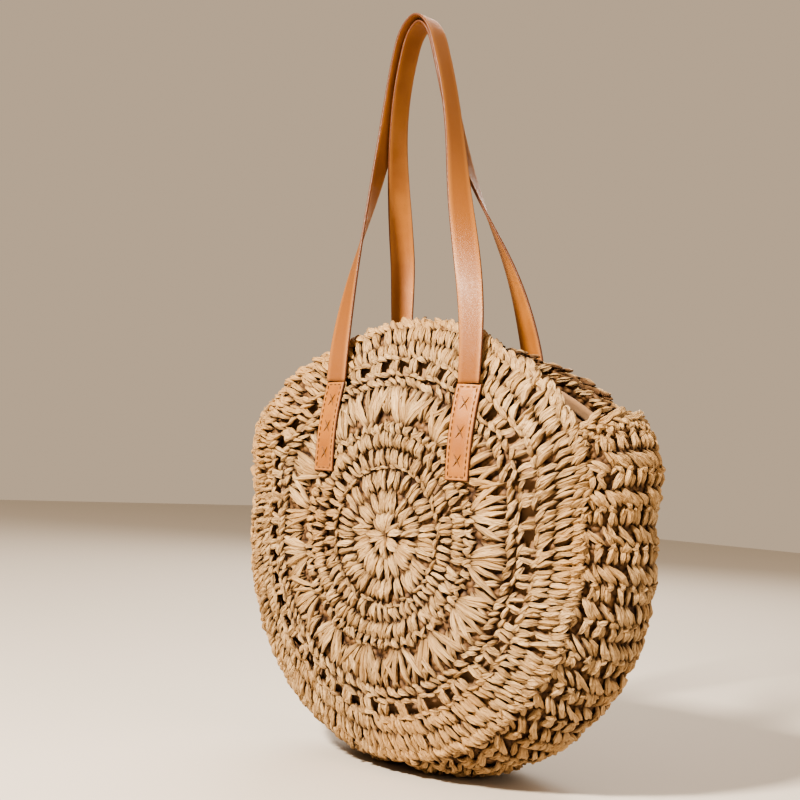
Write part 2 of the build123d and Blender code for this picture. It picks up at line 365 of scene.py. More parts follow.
def worked(piece):
    """Turns a piece with its rounds of stitches into a plain mesh."""
    bpy.context.view_layer.update()
    ready = piece.evaluated_get(bpy.context.evaluated_depsgraph_get())
    mesh = bpy.data.meshes.new_from_object(ready)
    piece.modifiers.clear()
    piece.data = mesh
    return mesh


def plain_piece(name, points=(), faces=(), material=None):
    """A mesh object in the scene, smooth shaded."""
    mesh = bpy.data.meshes.new(name)
    mesh.from_pydata([tuple(p) for p in points], [], [tuple(f) for f in faces])
    mesh.polygons.foreach_set("use_smooth", [True] * len(mesh.polygons))
    if material:
        mesh.materials.append(material)
    piece = bpy.data.objects.new(name, mesh)
    scene.collection.objects.link(piece)
    return piece


def shader_group(name, inputs, outputs):
    """An empty shader node group with its named inputs and outputs."""
    group = bpy.data.node_groups.new(name, "ShaderNodeTree")
    for label, kind, value in inputs:
        socket = group.interface.new_socket(label, in_out="INPUT", socket_type="NodeSocket" + kind)
        socket.default_value = value
    for label, kind in outputs:
        group.interface.new_socket(label, in_out="OUTPUT", socket_type="NodeSocket" + kind)
    return group, group.nodes.new("NodeGroupInput").outputs, group.nodes.new("NodeGroupOutput")


def blotches(tree, vector, scale, detail=2.0):
    """Noise over the surface, from 0 to 1."""
    return put(tree, "ShaderNodeTexNoise", {}, {"Vector": vector, "Scale": scale, "Detail": detail}).outputs["Fac"]


def spread_out(tree, value, low, high, to_low=0.0, to_high=1.0):
    """Maps one range of values to another."""
    feeds = {0: value, 1: low, 2: high, 3: to_low, 4: to_high}
    return put(tree, "ShaderNodeMapRange", {}, feeds).outputs[0]


def mixed(tree, factor, first, second, way="MIX"):
    """Mix of two colours."""
    node = put(tree, "ShaderNodeMix", {"data_type": "RGBA", "blend_type": way}, {0: factor, 6: first, 7: second})
    return node.outputs[2]


def surface(name):
    """A new material, its node tree and its shader."""
    material = bpy.data.materials.new(name)
    material.use_nodes = True
    tree = material.node_tree
    return material, tree, tree.nodes["Principled BSDF"]


def bumped(tree, shader, height, depth):
    """Height over the surface, in metres, fed to the shader."""
    bump = put(tree, "ShaderNodeBump", {}, {"Height": height, "Distance": depth, "Strength": 1.0})
    tree.links.new(bump.outputs[0], shader.inputs["Normal"])


# Creases of a paper ribbon: fine streaks that run along it.
creases_group, given, end = shader_group(
    "ribbon_creases", [("Vector", "Vector", (0, 0, 0)), ("Along", "Float", 2.0), ("Across", "Float", 9.0)],
    [("Streaks", "Float"), ("Pleats", "Float")])
stretch = put(creases_group, "ShaderNodeCombineXYZ", {}, {
    0: given["Along"], 1: given["Across"], 2: 1.0}).outputs[0]
drawn = vectors(creases_group, "MULTIPLY", given["Vector"], stretch)
creases_group.links.new(blotches(creases_group, drawn, 2.2, 4.0), end.inputs["Streaks"])
pleats = blotches(creases_group, drawn, 0.9, 1.0)
creases_group.links.new(maths(creases_group, "PINGPONG", pleats, 0.18), end.inputs["Pleats"])

# Paper straw: pale, dry and slightly glossy, each strand in its own tone, with painted
# shade on its underside and ends, where it dives under its neighbours, and darker streaks
# along it that are partly the paper's fibre and partly painted shade in its creases.
straw, tree, shader = surface("straw")
tone = put(tree, "ShaderNodeAttribute", {"attribute_name": "tone"}, {}).outputs["Fac"]
painted_shade_crest = put(tree, "ShaderNodeAttribute", {"attribute_name": "painted_shade_crest"}, {}).outputs["Fac"]
along = put(tree, "ShaderNodeUVMap", {"uv_map": "strand"}, {}).outputs[0]
shifted = put(tree, "ShaderNodeCombineXYZ", {}, {2: maths(tree, "MULTIPLY", tone, 40.0)}).outputs[0]
along = vectors(tree, "ADD", along, shifted)
ribbon = put(tree, "ShaderNodeGroup", {"node_tree": creases_group}, {
    "Vector": along, "Along": 1.6, "Across": 11.0})
spot = put(tree, "ShaderNodeTexCoord", {}, {}).outputs["Object"]
pale = mixed(tree, tone, (0.66, 0.475, 0.275, 1), (0.43, 0.285, 0.145, 1))
aged = mixed(tree, spread_out(tree, blotches(tree, spot, 9.0), 0.45, 0.7), pale, (0.55, 0.345, 0.165, 1))
# Darker streaks along the ribbon: partly the paper's own fibre colour and partly painted shade in its creases.
streaks = spread_out(tree, ribbon.outputs["Streaks"], 0.42, 0.62, 0.0, 0.6)
streaks_and_crease_shade = mixed(tree, streaks, aged, (0.34, 0.185, 0.075, 1))
# Painted shade: the colour darkens towards the strand's underside and its ends, where it dives under its
# neighbours.
deep = mixed(tree, spread_out(tree, painted_shade_crest, 0.12, 0.66, 0.88, 0.0), streaks_and_crease_shade, (0.10, 0.042, 0.016, 1))
tree.links.new(deep, shader.inputs["Base Color"])
tree.links.new(spread_out(tree, ribbon.outputs["Streaks"], 0.3, 0.7, 0.48, 0.74), shader.inputs["Roughness"])
shader.inputs["Specular IOR Level"].default_value = 0.42
relief = maths(tree, "ADD", ribbon.outputs["Streaks"], maths(tree, "MULTIPLY", ribbon.outputs["Pleats"], 3.0))
bumped(tree, shader, relief, 0.0011)

# The loops behind the strands that show, as a close bumpy ground whose dark colour
# is painted shade, the strands' shadow, darkest between its knots.
straw_painted_shade_ground, tree, shader = surface("straw_painted_shade_ground")
spot = put(tree, "ShaderNodeTexCoord", {}, {}).outputs["Object"]
knots = put(tree, "ShaderNodeTexVoronoi", {"feature": "F1"}, {"Vector": spot, "Scale": 170.0})
ribbon = put(tree, "ShaderNodeGroup", {"node_tree": creases_group}, {
    "Vector": spot, "Along": 60.0, "Across": 260.0})
# Both colours are painted shade, far darker than the straw over it; the knots' edges get the darkest painted
# shade.
loops_in_painted_shade = mixed(tree, ribbon.outputs["Streaks"], (0.17, 0.085, 0.036, 1), (0.34, 0.19, 0.088, 1))
dark = mixed(tree, spread_out(tree, knots.outputs["Distance"], 0.25, 0.75), loops_in_painted_shade, (0.055, 0.024, 0.010, 1))
tree.links.new(dark, shader.inputs["Base Color"])
tree.links.new(spread_out(tree, ribbon.outputs["Streaks"], 0.3, 0.7, 0.6, 0.85), shader.inputs["Roughness"])
bumped(tree, shader, maths(tree, "SUBTRACT", 1.0, knots.outputs["Distance"]), 0.003)


def polar_sheet(bands, out, back, turns=192, start=0.0, end=360.0):
    """Closed flat rings with a front at out and a back at back, for each band of inner and outer radius."""
    points, faces = [], []
    closed = end - start >= 360
    columns = turns if closed else turns + 1
    for inner, outer in bands:
        steps = max(1, round((outer - inner) / 0.004))
        ladder = [(inner + (outer - inner) * i / steps, out) for i in range(steps + 1)]
        ladder += [(outer - (outer - inner) * i / steps, back) for i in range(steps + 1)]
        base, rungs = len(points), len(ladder)
        for c in range(columns):
            turn = radians(start + (end - start) * c / turns)
            points += [(r * cos(turn), r * sin(turn), z) for r, z in ladder]
        for c in range(turns):
            a, b = base + c * rungs, base + (c + 1) % columns * rungs
            for i in range(rungs):
                j = (i + 1) % rungs
                faces.append((a + i, a + j, b + j, b + i))
        if not closed:
            faces.append(tuple(base + i for i in range(rungs))[::-1])
            faces.append(tuple(base + turns * rungs + i for i in range(rungs)))
    return points, faces


def panel_middle(name):
    """Everything inside the shells: petals, radial rounds, posts and clusters."""
    points, faces = polar_sheet([(0.0008, 0.060), (0.073, 0.137)], -0.0036, -0.0060)
    piece = plain_piece(name, points, faces, straw_painted_shade_ground)
    ring = dict(extent=360, start=3)
    work(piece, round_tree, (
        (0.8, 17, 1, 0, 0, 20, 5.8, 4.4, 6, -0.6, 11),
        (17, 27, 2, 3.9, 7, 22, 4.9, 4.2, 8, -0.9, 12),
        (36.5, 38, 2, 4.0, 5, 21, 4.6, 4.2, -9, -1.1, 13),
        (57.5, 48, 1, 0, 0, 10, 3.0, 3.2, 78, -0.7, 14),
        (57.0, 34, 2, 4.0, 3, 18, 4.4, 4.2, 7, -1.4, 15),
        (73, 34, 4, 3.4, 9, 16, 4.3, 4.2, 0, -0.9, 16),
        (86, 70, 2, 5.2, -58, 12, 4.0, 3.8, 5, -0.9, 17),
    ), **ring)
    return piece


def panel_border(name):
    """Shells, the small round that ties them, the eyelets and the dense outer rounds."""
    points, faces = polar_sheet([(0.1525, panel_radius - 0.001)], -0.0036, -0.0062)
    piece = plain_piece(name, points, faces, straw_painted_shade_ground)
    ring = dict(extent=360, start=3)
    work(piece, round_tree, (
        (94, 16, 8, 1.4, 8.6, 36, 4.9, 4.4, 0, -0.8, 21),
    ), **ring, uneven=1.3)
    work(piece, round_tree, (
        (103, 16, 5, 1.8, 14, 27, 4.2, 4.2, 0, -1.8, 22),
    ), extent=360, start=14.2)
    work(piece, round_tree, (
        (127, 130, 1, 0, 0, 13, 4.2, 4.2, 52, -0.9, 23),
        (136.8, 100, 1, 0, 0, 12, 3.8, 3.8, 76, -1.1, 24),
        (136.5, 42, 3, 3.2, 0, 17, 4.2, 4.2, 5, -1.5, 25),
        (150.2, 104, 1, 0, 0, 13, 4.2, 4.0, 73, -1.0, 26),
        (151.5, 128, 2, 3.5, 5, 18, 4.2, 4.2, 26, -1.0, 27),
        (165, 132, 2, 3.6, -5, 19, 4.3, 4.2, 20, -0.9, 28),
    ), **ring)
    return piece


patch_x, patch_half_width = 0.076, 0.0128     # the strap ends' place, with a small margin
patch_low, patch_high = 0.0488, 0.1308


def under_straps(flat):
    """The strap ends are sewn down tight and press the stitches under them flat."""
    x, up, out = flat.T
    covered = (np.abs(np.abs(x) - patch_x) < patch_half_width) & (up > patch_low) & (up < patch_high)
    return np.column_stack([x, up, np.where(covered, np.minimum(out, -0.0006), out)])


for side, word in ((-1, "front"), (1, "back")):
    for part, maker in (("middle", panel_middle), ("border", panel_border)):
        piece = maker(f"{word}_crochet_{part}")
        bend(worked(piece), lambda flat: onto_panel(under_straps(flat), side))
        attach(piece, "bag")
    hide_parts(f"{word}_panel")

# ---- Rims and seams ----
# The free top edge of each panel ends in a braid of slanting strands that lies over
# the edge; below the ears the same strands join the panel to the gusset.

ear_angle = 32.0
for side, word in ((-1, "front"), (1, "back")):
    band = [(panel_radius - 0.002, panel_radius + 0.0025)]
    points, faces = polar_sheet(band, -0.0012, -0.0045, 96, ear_angle, 180 - ear_angle)
    rim = plain_piece(f"{word}_rim_braid", points, faces, straw_painted_shade_ground)
    dome = dict(start=ear_angle - 1, extent=182 - 2 * ear_angle)
    work(rim, round_tree, (
        (178.5, 58, 1, 0, 0, 15, 4.6, 4.2, 50, -0.8, 31),
        (184.2, 48, 1, 0, 0, 15, 4.6, 4.2, 78, -1.9, 32),
        (183.6, 42, 1, 0, 0, 13, 5.0, 4.2, 96, -3.6, 33),
        (176, 58, 1, 0, 0, 13, 4.6, -4.0, 40, -5.2, 34),
    ), **dome)
    bend(worked(rim), onto_panel, side)
    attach(rim, "bag")
    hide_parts(f"{word}_rim")

    band = [(panel_radius - 0.002, panel_radius + 0.003)]
    points, faces = polar_sheet(band, -0.0022, -0.0048, 144, -180 - ear_angle, ear_angle)
    seam = plain_piece(f"{word}_seam_stitches", points, faces, straw_painted_shade_ground)
    under = dict(start=-180 - ear_angle, extent=180 + 2 * ear_angle)
    work(seam, round_tree, (
        (177.5, 108, 2, 3.7, 0, 14, 4.2, 4.2, 30, -1.6, 35),
        (183.0, 96, 1, 0, 0, 13, 4.2, 4.2, 58, -3.2, 36),
    ), **under)
    bend(worked(seam), onto_panel, side)
    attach(seam, "bag")
    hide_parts(f"{word}_seam")

# ---- Gusset ----
# One long crocheted strip from ear to ear under the bag, worked across its width:
# rows of slanting doubles between rows of little arches on two legs. It bellies
# outwards, and the floor presses it flat.

wall = 0.007
gusset_bulge = 0.032
bottom_bulge = 0.024
fullest = 0.8
strip_width = 0.112
strip_radius = 0.205


def onto_gusset(flat, side):
    """Bends a flat strip onto the gusset: x across, y up from an ear's top edge, z out.

    side is -1 for the right ear."""
    x, up, out = flat.T
    angle = radians(ear_angle) + up / strip_radius
    reach = panel_radius * np.sin(angle)
    near = seam_depth / 2 - 0.0035 - reach * sin(panel_tilt[side])
    far = seam_depth / 2 - 0.0035 - reach * sin(panel_tilt[-side])
    half, middle = (near + far) / 2, (far - near) / 2
    down = np.maximum(0, -np.sin(angle))
    belly = np.minimum(gusset_bulge + (bottom_bulge - gusset_bulge) * down**3, fullest * half)
    round_radius = (half**2 + belly**2) / (2 * belly)
    swing = np.arcsin(np.clip(half / round_radius, -1, 1)) * np.clip(x / (strip_width / 2), -1.2, 1.2)
    away = panel_radius + belly - round_radius + (round_radius + out) * np.cos(swing)
    y = middle + (round_radius + out) * np.sin(swing)
    x, z = away * np.cos(angle), away * np.sin(angle) + centre_z
    soft = 0.0016
    z = soft * np.logaddexp(0, z / soft)
    return settled(np.column_stack([-side * x, -side * y, z]))


def strip_sheet(out, back, top, length, width):
    """Closed flat strip, from its top edge downwards, with a front and a back."""
    rows, columns = round(length / 0.006), 14
    points, faces = [], []
    for i in range(rows + 1):
        y = top - length * i / rows
        ladder = [(-width / 2 + width * c / columns, out) for c in range(columns + 1)]
        ladder += [(width / 2 - width * c / columns, back) for c in range(columns + 1)]
        points += [(x, y, z) for x, z in ladder]
    rungs = 2 * columns + 2
    for i in range(rows):
        for c in range(rungs):
            d = (c + 1) % rungs
            faces.append((i * rungs + d, i * rungs + c, (i + 1) * rungs + c, (i + 1) * rungs + d))
    faces.append(tuple(range(rungs)))
    faces.append(tuple(rows * rungs + c for c in range(rungs))[::-1])
    return points, faces


half_strip = radians(90 + ear_angle) * strip_radius
row_period = 30.2
for side, word in ((-1, "right"), (1, "left")):
    points, faces = strip_sheet(-0.0030, -0.0065, -0.002, half_strip, strip_width)
    rows = plain_piece(f"gusset_{word}_rows", points, faces, straw_painted_shade_ground)
    span = dict(extent=strip_width * 1000)
    for i in range(14):
        top = -15 - i * row_period
        work(rows, row_tree, (
            (top - 15, 11, 2, 4.9, 16, 16, 4.4, 4.4, 0, -0.8, 50 + 5 * i),
            (top - 4.0, 11, 2, 6.8, 84, 8.5, 3.6, 4.0, 0, 0.0, 51 + 5 * i),
        ), **span)
        if i < 13:
            slanting = (top - 31, 11, 2, 4.4, 0, 21, 4.4, 4.6, 38, -0.6, 52 + 5 * i)
            work(rows, row_tree, (slanting,), **span, start=4)
    bend(worked(rows), onto_gusset, side)
    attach(rows, "bag")
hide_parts("gusset")

# ---- Ear edgings ----
# Across the top of each ear: a braid of long slanting strands over a tight row of
# small stitches.

for side, word in ((-1, "right"), (1, "left")):
    points, faces = strip_sheet(-0.0010, -0.0062, 0.0006, 0.016, strip_width)
    ear = plain_piece(f"{word}_ear_braid", points, faces, straw_painted_shade_ground)
    span = dict(extent=strip_width * 1000)
    work(ear, row_tree, (
        (-14.5, 22, 1, 0, 0, 8.5, 4.6, 4.2, -14, -0.9, 131),
        (-9.0, 20, 1, 0, 0, 11, 4.2, 4.2, 58, -0.6, 132),
        (-3.6, 14, 1, 0, 0, 20, 4.8, 4.2, -74, -0.4, 133),
        (-0.8, 14, 1, 0, 0, 19, 4.6, 4.2, -80, -2.4, 134),
        (-0.6, 14, 1, 0, 0, 17, 4.6, 4.2, -100, -4.6, 136),
        (-3.5, 14, 1, 0, 0, 14, 5.0, -4.2, -66, -6.0, 135),
    ), **span)
    bend(worked(ear), onto_gusset, side)
    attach(ear, "bag")
    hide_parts(f"{word}_ear_edging")

# ---- Lining ----
# Plain cotton cloth sewn inside: a disc in each panel and a strip in the gusset,
# with a folded hem under the mouth's edge.

cotton, tree, shader = surface("cotton")
spot = put(tree, "ShaderNodeTexCoord", {}, {}).outputs["Object"]
threads = {"Vector": spot, "Scale": 420.0, "Distortion": 0.6}
warp = put(tree, "ShaderNodeTexWave", {"bands_direction": "X"}, threads)
weft = put(tree, "ShaderNodeTexWave", {"bands_direction": "Z"}, threads)
weave = maths(tree, "MULTIPLY", warp.outputs["Fac"], weft.outputs["Fac"])
dyed = mixed(tree, blotches(tree, spot, 14.0, 3.0), (0.36, 0.205, 0.105, 1), (0.46, 0.275, 0.15, 1))
woven = mixed(tree, maths(tree, "MULTIPLY", weave, 0.35), dyed, (0.22, 0.115, 0.055, 1))
tree.links.new(woven, shader.inputs["Base Color"])
tree.links.new(spread_out(tree, blotches(tree, spot, 60.0), 0.3, 0.7, 0.82, 0.95), shader.inputs["Roughness"])
shader.inputs["Sheen Weight"].default_value = 0.15
creased = maths(tree, "ADD", maths(tree, "MULTIPLY", weave, 0.25), blotches(tree, spot, 45.0, 3.0))
bumped(tree, shader, creased, 0.0012)

cloth = 0.001
lining_out = -(wall + 0.001)
lining_radius = panel_radius - 0.008


def rumpled(points, amount):
    """Shallow creases in cloth that hangs slack."""
    x, y, z = points.T
    wave = np.sin(41 * x + 23 * y) * np.sin(57 * y - 18 * x + 1.0) + 0.5 * np.sin(95 * x - 60 * y)
    return np.column_stack([x, y, z - amount * (0.5 + 0.33 * wave)])


def cloth_disc(radius):
    """Flat open disc of cloth as rings round a middle point."""
    rings, turns = 34, 120
    points, faces = [(0, 0, 0)], []
    for i in range(1, rings + 1):
        r = radius * i / rings
        points += [(r * cos(tau * k / turns), r * sin(tau * k / turns), 0) for k in range(turns)]
    for k in range(turns):
        j = (k + 1) % turns
        faces.append((0, 1 + k, 1 + j))
        for i in range(rings - 1):
            a, b = 1 + i * turns, 1 + (i + 1) * turns
            faces.append((a + k, b + k, b + j, a + j))
    return np.array(points), faces


def thickened(piece, thickness):
    """Gives a cloth piece its thickness, inwards from the side that shows."""
    solid = piece.modifiers.new("cloth", "SOLIDIFY")
    solid.thickness, solid.offset = thickness, -1


for side, word in ((-1, "front"), (1, "back")):
    points, faces = cloth_disc(lining_radius)
    points[:, 2] = lining_out
    shown = plain_piece(f"{word}_lining_cloth", onto_panel(rumpled(points, 0.0016), side), faces, cotton)
    thickened(shown, cloth)
    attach(shown, "bag")
    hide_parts(f"{word}_lining")

    band, folds = [(lining_radius - 0.010, lining_radius)], (lining_out - 0.0016, lining_out - 0.0036)
    points, faces = polar_sheet(band, *folds, 72, ear_angle + 1, 179 - ear_angle)
    hem = plain_piece(f"{word}_hem_fold", onto_panel(np.array(points), side), faces, cotton)
    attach(hem, "bag")
    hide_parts(f"{word}_hem")

points = []
columns, rows = 16, 120
for i in range(rows + 1):
    for c in range(columns + 1):
        down = -0.004 - 2 * (half_strip - 0.004) * i / rows
        points.append((strip_width * 0.86 * (c / columns - 0.5), down, 0))
faces = [(b, a, d, c) for a, b, c, d in grid_faces(rows, columns)]
strip = np.array(points)
strip[:, 2] = lining_out
strip = rumpled(strip, 0.0014)
gusset_cloth = plain_piece("gusset_lining_cloth", onto_gusset(strip, -1), faces, cotton)
thickened(gusset_cloth, cloth)
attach(gusset_cloth, "bag")
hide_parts("gusset_lining")

# ---- Slip pocket ----
# A cloth pocket sewn to the back lining on three sides, open at its top.

pocket_width, pocket_height, pocket_top = 0.130, 0.105, 0.060
pocket_room = 0.0015
points = []
columns, rows = 32, 26
for i in range(rows + 1):
    for c in range(columns + 1):
        u, v = 2 * c / columns - 1, i / rows
        slack = pocket_room * (1 - u**4) * (1 - (1 - v) ** 3) + 0.0006
        height, depth = pocket_top - pocket_height * (1 - v), lining_out - cloth - 0.0016 - slack
        points.append((u * pocket_width / 2, height, depth))
bent = onto_panel(np.array(points), 1)
pocket = plain_piece("slip_pocket_cloth", bent, grid_faces(rows, columns), cotton)
thickened(pocket, cloth)
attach(pocket, "bag")
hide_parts("slip_pocket")

# ---- Leather straps ----
# Two flat straps of grained caramel leather with painted edges. Each runs up from
# its two stitched ends, turns edge-on and meets the other one at the top.

leather_width, leather_thick = 0.023, 0.0024
strap_spacing = 0.152
end_bottom, end_length = 0.050, 0.080
fold_gap = 0.0005
strap_rise = 0.340
apex_side, apex_depth, apex_shift = -0.050, -0.004, 0.0025
nest_gap = 0.0028
twist_done, lean_done = 0.78, 0.75
loop_shape = [
    (0.0, 0.0, 1.0),
    (0.15, 0.13, 0.974),
    (0.31, 0.36, 0.868),
    (0.49, 0.62, 0.697),
    (0.67, 0.82, 0.546),
    (0.82, 0.93, 0.414),
    (0.915, 0.98, 0.303),
    (0.975, 1.0, 0.178),
]

grain_group, given, end = shader_group(
    "leather_grain", [("Vector", "Vector", (0, 0, 0)), ("Size", "Float", 900.0)],
    [("Pebbles", "Float"), ("Mottle", "Float")])
pebbles = put(grain_group, "ShaderNodeTexVoronoi", {"feature": "DISTANCE_TO_EDGE"}, {
    "Vector": given["Vector"], "Scale": given["Size"]})
pores = blotches(grain_group, given["Vector"], maths(grain_group, "MULTIPLY", given["Size"], 1.4), 3.0)
flat_pebbles = maths(grain_group, "MINIMUM", pebbles.outputs["Distance"], 0.35)
grain = maths(grain_group, "ADD", flat_pebbles, maths(grain_group, "MULTIPLY", pores, 0.4))
grain_group.links.new(grain, end.inputs["Pebbles"])
grain_group.links.new(blotches(grain_group, given["Vector"], 22.0, 5.0), end.inputs["Mottle"])


def leather_material(name, light, dark, flesh_and_shade):
    """Leather with painted edges: the edge attribute runs from 0 in the middle of a strap's width to 1 at its
    edges.
    """
    material, tree, shader = surface(name)
    spot = put(tree, "ShaderNodeTexCoord", {}, {}).outputs["Object"]
    grain = put(tree, "ShaderNodeGroup", {"node_tree": grain_group}, {"Vector": spot, "Size": 820.0})
    edge = put(tree, "ShaderNodeAttribute", {"attribute_name": "edge"}, {}).outputs["Fac"]
    under = put(tree, "ShaderNodeAttribute", {"attribute_name": "flesh_and_shade"}, {}).outputs["Fac"]
    hide = mixed(tree, spread_out(tree, grain.outputs["Mottle"], 0.35, 0.65), light, dark)
    # The flesh side is painted darker: partly its own rougher colour, partly painted shade on the strap's inner
    # face.
    hide = mixed(tree, maths(tree, "MULTIPLY", under, 0.85), hide, flesh_and_shade)
    # Painted shade in the grain's pits: darker between the pebbles.
    pits = spread_out(tree, grain.outputs["Pebbles"], 0.12, 0.30, 0.35, 0.0)
    pits_in_painted_shade = mixed(tree, pits, hide, (0.16, 0.055, 0.018, 1))
    # Painted highlight: a lighter band along each edge of the strap, where light catches it.
    edge_highlight = mixed(tree, spread_out(tree, edge, 0.55, 0.85, 0.0, 0.30), pits_in_painted_shade, (0.56, 0.27, 0.10, 1))
    painted = mixed(tree, spread_out(tree, edge, 0.90, 0.97), edge_highlight, (0.12, 0.040, 0.014, 1))
    tree.links.new(painted, shader.inputs["Base Color"])
    rough = spread_out(tree, grain.outputs["Mottle"], 0.3, 0.7, 0.38, 0.52)
    tree.links.new(rough, shader.inputs["Roughness"])
    shader.inputs["Coat Weight"].default_value = 0.12
    shader.inputs["Coat Roughness"].default_value = 0.35
    bumped(tree, shader, grain.outputs["Pebbles"], 0.00035)
    return material


# The flesh side's colour is partly its own and partly painted shade on the strap's inner face.
light_hide, dark_hide, flesh_side_and_shade = (0.41, 0.172, 0.048, 1), (0.31, 0.117, 0.030, 1), (0.23, 0.088, 0.026, 1)
leather = leather_material("leather", light_hide, dark_hide, flesh_side_and_shade)


def fold_line(tilt):
    """Y and Z of the line where a free strap leaves its stitched ends, as if on the front."""
    r = hypot((strap_spacing - leather_width) / 2, end_bottom + end_length)
    stand = panel_dish - rim_radius + sqrt(rim_radius**2 - (r - flat_middle) ** 2)
    depth, up = -(stand + leather_thick + 2 * fold_gap), end_bottom + end_length + fold_gap / 2
    return depth * cos(tilt) + up * sin(tilt) - seam_depth / 2, up * cos(tilt) - depth * sin(tilt) + centre_z


def loop_stations(tilt, apex_y, inset):
    """Centre points and twist of a loop from its left end over to its right, as the frame has it."""
    fold_y, fold_z = fold_line(tilt)
    start_y, start_z, half = fold_y + fold_gap + leather_thick / 2, fold_z + fold_gap / 2, strap_spacing / 2
    turns = [(share, s, w, 90 * float(rise(share, 0, twist_done))) for share, s, w in loop_shape]
    flat = [(apex_side * s - half * w, share, turn) for share, s, w, turn in turns]
    flat.append((apex_side, 1.0, 90))
    flat += [(apex_side * s + half * w, share, 180 - turn) for share, s, w, turn in turns[::-1]]
    stations = []
    for i, (x, share, turn) in enumerate(flat):
        before, after = flat[max(i - 1, 0)], flat[min(i + 1, len(flat) - 1)]
        along = Vector((after[0] - before[0], 0, (after[1] - before[1]) * strap_rise)).normalized()
        inward = Vector((along.z, 0, -along.x)) * inset * float(rise(share, 0, lean_done))
        lean = 0.5 * float(rise(share, 0, lean_done)) + 0.5 * min(1.0, share / lean_done)
        y = start_y + (apex_y - start_y) * lean
        stations.append((*(Vector((x, y, start_z + strap_rise * share)) + inward), turn))
    return np.array(stations)


def flowing(points, first, last, count):
    """Cubic spline through the points, with given end directions; positions and directions along it."""
    t = np.concatenate([[0], np.cumsum(np.linalg.norm(np.diff(points[:, :3], axis=0), axis=1))])
    n, side = len(t), np.zeros_like(points)
    system = np.zeros((n, n))
    system[0, 0] = system[-1, -1] = 1
    side[0], side[-1] = first, last
    for i in range(1, n - 1):
        before, after = t[i] - t[i - 1], t[i + 1] - t[i]
        system[i, i - 1:i + 2] = after, 2 * (before + after), before
        side[i] = 3 * (after * (points[i] - points[i - 1]) / before + before * (points[i + 1] - points[i]) / after)
    slope = np.linalg.solve(system, side)
    at = np.linspace(0, t[-1], count)
    i = np.clip(np.searchsorted(t, at) - 1, 0, n - 2)
    h, s = (t[i + 1] - t[i])[:, None], ((at - t[i]) / (t[i + 1] - t[i]))[:, None]
    a, b, m, k = points[i], points[i + 1], slope[i] * h, slope[i + 1] * h
    place = a * (1 + 2 * s) * (1 - s) ** 2 + m * s * (1 - s) ** 2 + b * s * s * (3 - 2 * s) + k * s * s * (s - 1)
    course = (6 * s * (s - 1) * (a - b) + m * (1 - s) * (1 - 3 * s) + k * s * (3 * s - 2)) / h
    return place, course, at


def strap_section(width, thick, corner):
    """Rounded outline across a strap's width, and whether each point is on the rough side."""
    outline = []
    steps = 8
    for i in range(steps + 1):
        outline.append((-width / 2 + corner + (width - 2 * corner) * i / steps, thick / 2, 0))
    for turn in (60, 30, 0, -30, -60):
        outline.append((width / 2 - corner + corner * cos(radians(turn)), thick / 2 * sin(radians(turn)), 0))
    for i in range(steps + 1):
        outline.append((width / 2 - corner - (width - 2 * corner) * i / steps, -thick / 2, 1))
    for turn in (240, 210, 180, 150, 120):
        outline.append((-width / 2 + corner + corner * cos(radians(turn)), thick / 2 * sin(radians(turn)), 0))
    return outline


def strap_loop(name, apex_y, inset, side, body):
    stations = loop_stations(panel_tilt[side], apex_y, inset)
    fold_y, fold_z = fold_line(panel_tilt[side])
    # The stitched ends have moved with the soft panel, so the free strap starts
    # from there and settles into its own line higher up.
    end_point = onto_panel(np.array([[strap_spacing / 2, end_bottom + end_length, 0.0]]), side)[0]
    settle = -side * (end_point[1] + forward) - (fold_y + 2 * fold_gap + leather_thick)
    up = np.array([0, 0, 1, 0])
    place, course, at = flowing(stations, up, -up, 241)
    outline = strap_section(leather_width, leather_thick, 0.0009)
    points, faces, edges, rough = [], [], [], []
    for p, c in zip(place, course):
        tangent = Vector(c[:3]).normalized()
        wide = Vector((cos(radians(p[3])), -sin(radians(p[3])), 0))
        wide = (wide - tangent * wide.dot(tangent)).normalized()
        thick = wide.cross(tangent)
        shift = settle * (1 - float(rise(p[2], fold_z, fold_z + 0.13)))
        for u, v, under in outline:
            points.append(Vector((p[0], p[1] + shift, p[2])) + wide * u + thick * -v)
            edges.append(abs(u) / (leather_width / 2))
            rough.append(under)
    m = len(outline)
    for i in range(len(place) - 1):
        for k in range(m):
            j = (k + 1) % m
            faces.append((i * m + j, i * m + k, (i + 1) * m + k, (i + 1) * m + j))
    faces.append(tuple(range(m)))
    faces.append(tuple((len(place) - 1) * m + k for k in range(m))[::-1])
    points = np.array(points) * np.array([1, -side, 1]) - np.array([0, forward, 0])
    if side == 1:
        faces = [f[::-1] for f in faces]
    strap = plain_piece(name, points, faces, leather)
    strap.data.attributes.new("edge", "FLOAT", "POINT").data.foreach_set("value", edges)
    strap.data.attributes.new("flesh_and_shade", "FLOAT", "POINT").data.foreach_set("value", rough)
    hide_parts(body)
    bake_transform(strap)
    return strap


strap_loop("front_strap_leather", apex_depth - apex_shift, 0.0, -1, "front_strap")
strap_loop("back_strap_leather", -apex_depth - apex_shift, leather_thick + nest_gap, 1, "back_strap")

# ---- Stitched strap ends ----
# The lower 80 mm of each strap lies on the panel, sewn round its edge and with
# three large crosses that pull the leather down a little.

other_hand = {"left": "right", "right": "left"}    # the back panel is turned round

